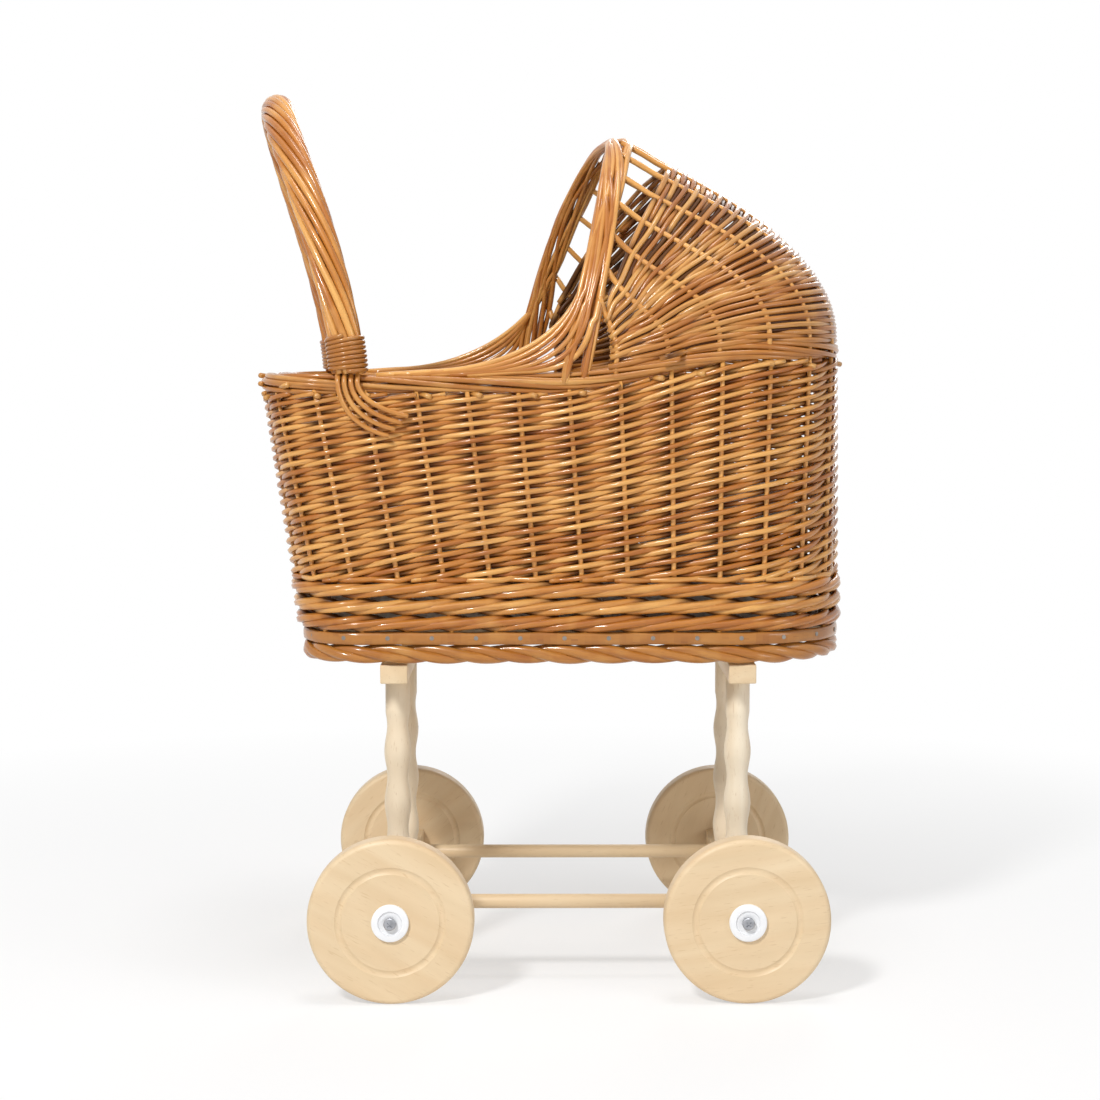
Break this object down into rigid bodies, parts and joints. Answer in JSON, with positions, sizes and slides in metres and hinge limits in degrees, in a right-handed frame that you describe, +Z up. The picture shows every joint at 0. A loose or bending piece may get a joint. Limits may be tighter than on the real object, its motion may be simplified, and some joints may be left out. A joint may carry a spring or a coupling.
{
  "type": "doll stroller",
  "caption": "Woven willow doll pram with a fixed hood and a bow handle, on a turned beech undercarriage with free-turning disc wheels, with cotton bedding inside.",
  "frame": {"origin": "on the floor, under the middle of the overall box: midway between the handle's outermost point and the hood end, on the middle plane between the left and right wheels", "axes": "+X points to the hood end, the way the stroller is pushed; -X to the handle end; +Y to the left side; +Z up"},
  "size_m": [0.4415, 0.3158, 0.6608],
  "materials": {
    "beech": "pale sanded beech under a thin clear matt lacquer, fine flecks along the grain",
    "plywood": "sanded plywood board, unlacquered",
    "willow": "peeled willow rods, steamed and lacquered honey brown, satin",
    "split_willow": "split and shaved willow skein, lacquered honey brown, satin",
    "hub_plastic": "white moulded polypropylene, softly glossy",
    "zinc_steel": "bright zinc plated steel",
    "cotton": "off-white plain woven cotton over a soft filling"
  },
  "bodies": {
    "root": {"wheel_screw_front_right": "zinc_steel", "wheel_screw_front_left": "zinc_steel", "wheel_screw_rear_right": "zinc_steel", "wheel_screw_rear_left": "zinc_steel", "axle_beam_front": "beech", "axle_beam_rear": "beech", "stretcher_right": "beech", "stretcher_left": "beech", "leg_front_right": "beech", "leg_front_left": "beech", "leg_rear_right": "beech", "leg_rear_left": "beech", "crossbar_front": "beech", "crossbar_rear": "beech", "base_screws": "zinc_steel", "base_board": "plywood", "base_hoop": "split_willow", "hoop_nails": "zinc_steel", "foot_border": "willow", "stake_feet": "willow", "waling_band": "willow", "basket_wall": "willow", "rim_border": "willow", "hood_shell": "willow", "hood_open_ribs": "willow", "hood_arch": "willow", "arch_sweep_right": "willow", "arch_sweep_left": "willow", "handle": "willow", "handle_tails_right": "willow", "handle_tails_left": "willow", "handle_binding_right": "split_willow", "handle_binding_left": "split_willow", "mattress": "cotton", "pillow": "cotton", "duvet": "cotton"},
    "front_right_wheel": {"wheel_front_right": "beech", "bush_front_right": "hub_plastic"},
    "front_left_wheel": {"wheel_front_left": "beech", "bush_front_left": "hub_plastic"},
    "rear_right_wheel": {"wheel_rear_right": "beech", "bush_rear_right": "hub_plastic"},
    "rear_left_wheel": {"wheel_rear_left": "beech", "bush_rear_left": "hub_plastic"}
  },
  "joints": [
    {"name": "front_right_wheel_spin", "type": "hinge", "parent": "root", "child": "front_right_wheel", "pos_m": [0.142, -0.142, 0.06], "axis": [0, 1, 0], "continuous": true},
    {"name": "front_left_wheel_spin", "type": "hinge", "parent": "root", "child": "front_left_wheel", "pos_m": [0.142, 0.142, 0.06], "axis": [0, 1, 0], "continuous": true},
    {"name": "rear_right_wheel_spin", "type": "hinge", "parent": "root", "child": "rear_right_wheel", "pos_m": [-0.114, -0.142, 0.06], "axis": [0, 1, 0], "continuous": true},
    {"name": "rear_left_wheel_spin", "type": "hinge", "parent": "root", "child": "rear_left_wheel", "pos_m": [-0.114, 0.142, 0.06], "axis": [0, 1, 0], "continuous": true}
  ]
}
